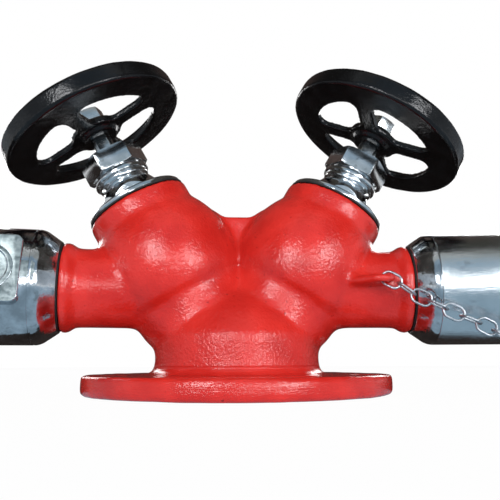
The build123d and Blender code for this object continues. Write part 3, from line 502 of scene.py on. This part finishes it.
def hollow_mask(piece, voxel, extra=None):
    """Weights that are 1 in the creases and fade out over a few voxels around them."""
    mesh = piece.data
    places, normals = np.empty(len(mesh.vertices) * 3), np.empty(len(mesh.vertices) * 3)
    mesh.vertices.foreach_get("co", places)
    mesh.vertex_normals.foreach_get("vector", normals)
    places, normals = places.reshape(-1, 3), normals.reshape(-1, 3)
    ends = np.empty(len(mesh.edges) * 2, dtype=np.int64)
    mesh.edges.foreach_get("vertices", ends)
    ends = ends.reshape(-1, 2)
    counts = np.bincount(ends.ravel(), minlength=len(places)).astype(float)[:, None]
    hollow = ((neighbour_mean(places, ends, counts) - places) * normals).sum(axis=1, keepdims=True) / voxel
    weight = np.clip((hollow - HOLLOW_FROM) / (HOLLOW_TO - HOLLOW_FROM), 0, 1)
    for step in range(SPREAD_STEPS):
        weight = np.maximum(weight, neighbour_mean(weight, ends, counts) * SPREAD_GAIN).clip(0, 1)
    if extra is not None:
        weight = np.maximum(weight, extra(places)[:, None])
    group = piece.vertex_groups.new(name="hollows")
    levels = np.round(weight[:, 0] * WEIGHT_STEPS).astype(int)
    for level in range(1, WEIGHT_STEPS + 1):
        group.add(np.nonzero(levels == level)[0].tolist(), level / WEIGHT_STEPS, "REPLACE")
    print(piece.name, "points in hollows:", int((weight > 0.5).sum()), "of", len(places))


# %% [markdown]
# The body and the two handwheels come out of the same recipe. The body also has places where
# the pattern maker used far more filler than in a plain corner: the dip between the chambers,
# and where each barrel runs out over the neck. These are named by where they lie.

# %% The castings
DIP_WIDTH = 24 * MM
DEEP_DIPS = ((0, -45 * MM, 100 * MM), (0, 45 * MM, 100 * MM),       # between the chambers
             (-66 * MM, 0, 40 * MM), (66 * MM, 0, 40 * MM))         # where a barrel leaves the neck
STEP_ROUNDS = 3     # smoothing that takes off the steps of the voxels, before hollows are looked for


def cast_from_cad(node, name, voxel, rounds, unevenness, lump, hollow_rounds=0, extra=None):
    """A copy of a CAD node as it leaves the sand: an even skin of voxel size, smoothed, then
    made uneven by lumps. hollow_rounds is how much more its hollows are smoothed."""
    piece = welded_copy(node, name)
    apply_modifier(piece, "REMESH", mode="VOXEL", voxel_size=voxel, adaptivity=0.0)
    if hollow_rounds:
        apply_modifier(piece, "SMOOTH", factor=0.5, iterations=STEP_ROUNDS)
        hollow_mask(piece, voxel, extra)
        apply_modifier(piece, "SMOOTH", factor=0.5, iterations=hollow_rounds, vertex_group="hollows")
        piece.vertex_groups.clear()
    apply_modifier(piece, "SMOOTH", factor=0.5, iterations=rounds)
    texture = bpy.data.textures.new(name + " unevenness", "CLOUDS")
    texture.noise_scale = lump
    texture.noise_depth = 1
    apply_modifier(piece, "DISPLACE", texture=texture, texture_coords="LOCAL", strength=unevenness,
                   mid_level=0.5)
    select_only(piece)
    bpy.ops.object.shade_smooth()
    print(name, "triangles:", sum(len(face.vertices) - 2 for face in piece.data.polygons))
    return piece


def deep_hollows(places):
    """Weights that are 1 in the middle of each deep dip and fade out around it."""
    weight = np.zeros(len(places))
    for dip in DEEP_DIPS:
        away = np.linalg.norm(places - np.array(dip), axis=1)
        weight = np.maximum(weight, np.exp(-(away / DIP_WIDTH) ** 2))
    return weight


casting = cast_from_cad("body_casting", "hydrant_casting", voxel=1.9 * MM, rounds=6, unevenness=0.6 * MM,
                        lump=22 * MM, hollow_rounds=90, extra=deep_hollows)
finish_piece(casting, "valve", "red_paint", RED, "body_casting")
for name in SIDES:
    wheel = cast_from_cad(f"handwheel_{name}", f"cast_handwheel_{name}", voxel=1.1 * MM, rounds=5,
                          unevenness=0.4 * MM, lump=16 * MM)
    finish_piece(wheel, f"wheel_{name}", "black_paint", BLACK, f"handwheel_{name}")


# %% [markdown]
# Above each chamber stand the bonnet, the gland nut and the spindle with its washer and nut.
# They could be spun up again from a profile, but the CAD has their true sizes, so each is a
# copy of its node with its corners taken off. All were turned about the stem, so the stem's
# axes give their rings. The spindle, washer and nut move with the wheel, the rest stay put.

# %% Bonnets, glands and spindles
TRIM = [("bonnet", "valve", "polished_gunmetal", POLISHED, 0.35 * MM),
        ("gland_nut", "valve", "polished_gunmetal", POLISHED, 0.6 * MM),
        ("spindle", "wheel", "plated_steel", STEEL, 0.3 * MM),
        ("wheel_washer", "wheel", "plated_steel", STEEL, 0.2 * MM),
        ("wheel_nut", "wheel", "plated_steel", STEEL, 0.35 * MM)]
for name in SIDES:
    for part, body, slot, material, edge in TRIM:
        piece = machined_from_cad(f"{part}_{name}", f"turned_{part}_{name}", edge, STEM[name])
        finish_piece(piece, body if body == "valve" else f"{body}_{name}", slot, material, f"{part}_{name}")
    print(name, "valve's trim:", [f"turned_{part}_{name}" for part, *rest in TRIM])


# %% [markdown]
# The two outlet fittings are turned about the outlet's axis: on the left a hose socket with
# flats for its plungers, on the right a plain nose under a satin blank cap. The flats were
# blasted with shot, and the barrel round them was polished afterwards. So the socket and
# its plugs have two materials, and the faces that look along the plungers take the dull one.

# %% Outlet fittings
PLUNGER = Vector(JOINTS["plunger_push_front"]["axis"]).normalized()
FLAT_FACE = 41.5 * MM       # nothing lower than this along the plungers belongs to the flats
FACING = 0.97               # cosine of the most that a face of the flats may lean


def blast_flats(piece):
    """Give the faces that look along the plungers the duller, shot-blasted plate."""
    piece.data.materials.append(BLASTED)
    middle = OUTLET["left"].translation
    flats = 0
    for face in piece.data.polygons:
        height = (face.center - middle).dot(PLUNGER)
        if abs(face.normal.dot(PLUNGER)) > FACING and abs(height) > FLAT_FACE:
            face.material_index = 1
            flats += 1
    print(piece.name, "blasted faces:", flats)


for part, side, body, slot, material, edge in (
        ("coupling", "left", "valve", "plated_coupling", MIRROR, 0.4 * MM),
        ("plunger_plugs", "left", "valve", "plated_coupling", MIRROR, 0.25 * MM),
        ("outlet_nose", "right", "valve", "plated_coupling", MIRROR, 0.4 * MM),
        ("blank_cap", "right", "cap", "satin_cap", SATIN, 0.4 * MM)):
    piece = machined_from_cad(part, f"turned_{part}", edge, OUTLET[side])
    finish_piece(piece, body, slot, material, part)
    if part in ("coupling", "plunger_plugs"):
        blast_flats(piece)


# %% [markdown]
# A spring sits behind each plunger. Its outer end stays on the plug and its inner end moves
# with the plunger. A rigid copy would cut into the plunger; here each spring is such a copy
# of its CAD node, shaded smooth and attached to neither body.

# %% Plunger springs
WIRE_SMOOTH_UNDER = math.radians(40)
PLUNGER_AT = 175 * MM                   # along the outlet


def wire_from_cad(node, name, side, material):
    """A wire piece, round all over, that isn't bevelled, and that no body moves."""
    piece = welded_copy(node, name)
    axial_attribute(piece, OUTLET[side])
    select_only(piece)
    bpy.ops.object.shade_smooth_by_angle(angle=WIRE_SMOOTH_UNDER)
    piece.data.materials.append(material)
    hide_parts(node)
    print(name, "triangles:", len(piece.data.polygons))
    return piece


for name in ("front", "back"):
    out = Vector(JOINTS[f"plunger_push_{name}"]["axis"]).normalized()
    middle = OUTLET["left"] @ Vector((0, 0, PLUNGER_AT))
    spring = wire_from_cad(f"plunger_spring_{name}", f"wound_spring_{name}", "left", STEEL)
    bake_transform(spring)


# %% [markdown]
# The chain hangs from the lug on the body to the ear of the cap. Its thirteen links are
# threaded through each other as in the CAD. Each link could ride alone, but then the row
# would break in two, so the chain is one piece, a copy of its CAD node that no body moves,
# and it does not follow the cap when the cap is pulled.

chain = wire_from_cad("cap_chain", "chain_links", "right", ZINC)
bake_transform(chain)


# %% [markdown]
# The camera stands low in front, a little left of the middle, and looks slightly up, which
# is why the undersides of the handwheels show. It could be aimed at a target with a
# constraint, but plain angles also give the small roll that such a constraint would hide.

# %% Camera
camera = bpy.data.objects.new("camera", bpy.data.cameras.new("camera"))
bpy.context.scene.collection.objects.link(camera)
yaw, pitch, roll = 0.073, 0.201, -0.004         # radians: right, up, and about the line of sight
look = Vector((math.sin(yaw) * math.cos(pitch), math.cos(yaw) * math.cos(pitch), math.sin(pitch)))
level = look.to_track_quat("-Z", "Y").to_matrix()
camera.location = (-21.4 * MM, -432.5 * MM, 22.2 * MM)
camera.rotation_euler = (level @ Matrix.Rotation(roll, 3, "Z")).to_euler()
camera.data.lens = 39.9
camera.data.sensor_width = 36
camera.data.clip_start = 5 * MM
bpy.context.scene.camera = camera
print("camera looks along", tuple(round(part, 3) for part in look))


# %% [markdown]
# Two soft boxes stand in front like windows, with a thin bright sill between them that
# draws the long line along each neck. Wide fills, which no reflection sees, keep the shade
# open, and two weaker boxes light the back. Point lamps would do for the shading, but gloss
# shows the shape of its lamp, and only an area has a shape worth seeing.

# %% Lights
AIM = Vector((0, 0, 120 * MM))
DAYLIGHT, WHITE = (0.97, 0.98, 1.0), (1, 1, 1)
LIGHTS = (      # degrees, metres and watts:
    # name, azimuth, elevation, distance, width, height, power, colour, seen in gloss
    ("window left", -25, 13, 1.6, 0.42, 0.44, 8.0, DAYLIGHT, True),
    ("window right", 34, 10, 1.6, 0.42, 0.44, 7.5, DAYLIGHT, True),
    ("window sill", 8, 3, 1.6, 0.85, 0.20, 3.4, DAYLIGHT, True),
    ("fill left", -28, 14, 1.6, 0.90, 0.90, 6.0, WHITE, False),
    ("fill right", 37, 10, 1.6, 0.90, 0.90, 5.5, WHITE, False),
    ("ceiling", 0, 80, 1.8, 1.6, 1.2, 5, WHITE, False),
    ("back left", 148, 20, 1.8, 0.5, 0.6, 5.5, WHITE, True),
    ("back right", 214, 20, 1.8, 0.5, 0.6, 5.5, WHITE, True))


def towards(azimuth, elevation):
    """Direction away from the valve, from degrees; azimuth 0 is in front, positive to the right."""
    a, e = math.radians(azimuth), math.radians(elevation)
    return Vector((math.sin(a) * math.cos(e), -math.cos(a) * math.cos(e), math.sin(e)))


def area_light(name, away, distance, width, height, power, colour):
    """Soft box that faces the valve from a distance along away."""
    lamp = bpy.data.lights.new(name, "AREA")
    lamp.shape = "RECTANGLE"
    lamp.size, lamp.size_y = width, height
    lamp.energy = power
    lamp.color = colour
    light = bpy.data.objects.new(name, lamp)
    bpy.context.scene.collection.objects.link(light)
    light.location = AIM + away * distance
    light.rotation_euler = (-away).to_track_quat("-Z", "Y").to_euler()
    return light


for name, azimuth, elevation, distance, width, height, power, colour, in_gloss in LIGHTS:
    light = area_light(name, towards(azimuth, elevation), distance, width, height, power, colour)
    light.visible_glossy = in_gloss
print("lights:", len(LIGHTS))


# %% [markdown]
# Polished metal shows what is around it, so a studio puts up cards: a cool grey one in front,
# a dark one behind and one overhead give the plate its light and dark bands. A painted room
# on the world would do the same, but a card can be made wider or darker by itself. Only
# reflections see the cards. Two of them lie flat on the table, for faces that look down.

# %% Cards
CARD_AIM = Vector((0, 0, 100 * MM))
CARDS = (       # degrees and metres: name, azimuth, elevation, distance, width, height, colour
    ("front card", 0, 41, 2.1, 3.6, 0.95, (0.30, 0.41, 0.51)),
    ("front low card", 0, 13.5, 2.15, 4.2, 1.36, (0.40, 0.49, 0.56)),
    ("front high card", 0, 60, 2.0, 3.0, 0.62, (0.40, 0.42, 0.41)),
    ("top card", 180, 88, 2.0, 3.0, 1.5, (0.055, 0.052, 0.045)),
    ("back card", 180, 45, 2.2, 5.6, 2.0, (0.085, 0.062, 0.055)),
    ("back low card", 180, 8, 2.3, 6.2, 1.0, (0.035, 0.028, 0.025)),
    ("left card", -82, 12, 2.1, 3.8, 0.9, (0.36, 0.41, 0.46)),
    ("left high card", -82, 48, 2.1, 3.0, 1.8, (0.06, 0.055, 0.05)),
    ("right card", 82, 12, 2.1, 3.8, 0.9, (0.36, 0.41, 0.46)),
    ("right high card", 82, 48, 2.1, 3.0, 1.8, (0.06, 0.055, 0.05)))
TABLE_CARDS = (     # name, middle along Y, depth, colour
    ("front table card", -0.765, 1.47, (0.27, 0.38, 0.47)),
    ("back table card", 0.97, 2.00, (0.030, 0.024, 0.022)))
TABLE_CARD_WIDTH = 3.6
TABLE_CARD_HEIGHT = 0.2 * MM


def flat_material(name, colour):
    """A material that shows one colour from everywhere, however it is lit."""
    material, tree, shader, place = new_material(name)
    shader.inputs["Base Color"].default_value = (0, 0, 0, 1)
    shader.inputs["Specular IOR Level"].default_value = 0
    shader.inputs["Emission Color"].default_value = (*colour, 1)
    shader.inputs["Emission Strength"].default_value = 1.0
    return material


def card(name, width, height, colour):
    """A sheet of one colour that only reflections see, lying flat at the origin."""
    bpy.ops.mesh.primitive_plane_add(size=1)
    sheet = bpy.context.object
    sheet.name = name
    sheet.scale = (width, height, 1)
    sheet.data.materials.append(flat_material(name, colour))
    sheet.visible_camera = sheet.visible_diffuse = sheet.visible_shadow = False
    sheet.visible_transmission = False
    return sheet


for name, azimuth, elevation, distance, width, height, colour in CARDS:
    away = towards(azimuth, elevation)
    standing = card(name, width, height, colour)
    standing.location = CARD_AIM + away * distance
    standing.rotation_euler = away.to_track_quat("Z", "Y").to_euler()
for name, middle, depth, colour in TABLE_CARDS:
    card(name, TABLE_CARD_WIDTH, depth, colour).location = (0, middle, TABLE_CARD_HEIGHT)
print("cards:", len(CARDS) + len(TABLE_CARDS))


# %% [markdown]
# The valve stands before plain white, as on a catalogue page. A bright world alone would
# flood the shade with light, so what a ray meets depends on its kind: camera and mirror
# rays see white, and rays that carry light see a dim grey. The floor mixes a glow with a
# pale matt surface in the same way, so it melts into the white but still takes a soft shadow.

# %% Backdrop and floor
SHADE_LIGHT = (0.20, 0.20, 0.21)
FLOOR_SIZE = 6
FLOOR_HEIGHT = -0.5 * MM        # just under the flange, so that the two never share a plane
FLOOR_GLOW = 0.975              # the rest of the floor takes shadows

world = bpy.data.worlds.new("studio")
bpy.context.scene.world = world
world.use_nodes = True
tree = world.node_tree
background = tree.nodes["Background"]


def seen_directly(tree):
    """1 for rays that show the background: camera, mirror and glass rays."""
    path = tree.nodes.new("ShaderNodeLightPath")
    mirror = math_node(tree, "MAXIMUM", path.outputs["Is Glossy Ray"], path.outputs["Is Transmission Ray"])
    return math_node(tree, "MAXIMUM", path.outputs["Is Camera Ray"], mirror)


tree.links.new(mix_colour(tree, seen_directly(tree), SHADE_LIGHT, WHITE), background.inputs["Color"])

bpy.ops.mesh.primitive_plane_add(size=FLOOR_SIZE, location=(0, 0, FLOOR_HEIGHT))
floor = bpy.context.object
floor.name = "floor"
material, tree, shader, place = new_material("pale floor")
shader.inputs["Base Color"].default_value = (0.8, 0.8, 0.8, 1)
shader.inputs["Roughness"].default_value = 0.9
shader.inputs["Specular IOR Level"].default_value = 0
glow = add_node(tree, "ShaderNodeEmission", Strength=1.0)
blend = tree.nodes.new("ShaderNodeMixShader")
tree.links.new(math_node(tree, "MULTIPLY", seen_directly(tree), FLOOR_GLOW), blend.inputs[0])
tree.links.new(shader.outputs[0], blend.inputs[1])
tree.links.new(glow.outputs[0], blend.inputs[2])
tree.links.new(blend.outputs[0], tree.nodes["Material Output"].inputs["Surface"])
floor.data.materials.append(material)

bpy.context.scene.view_settings.view_transform = "Standard"
print("floor and backdrop are white")
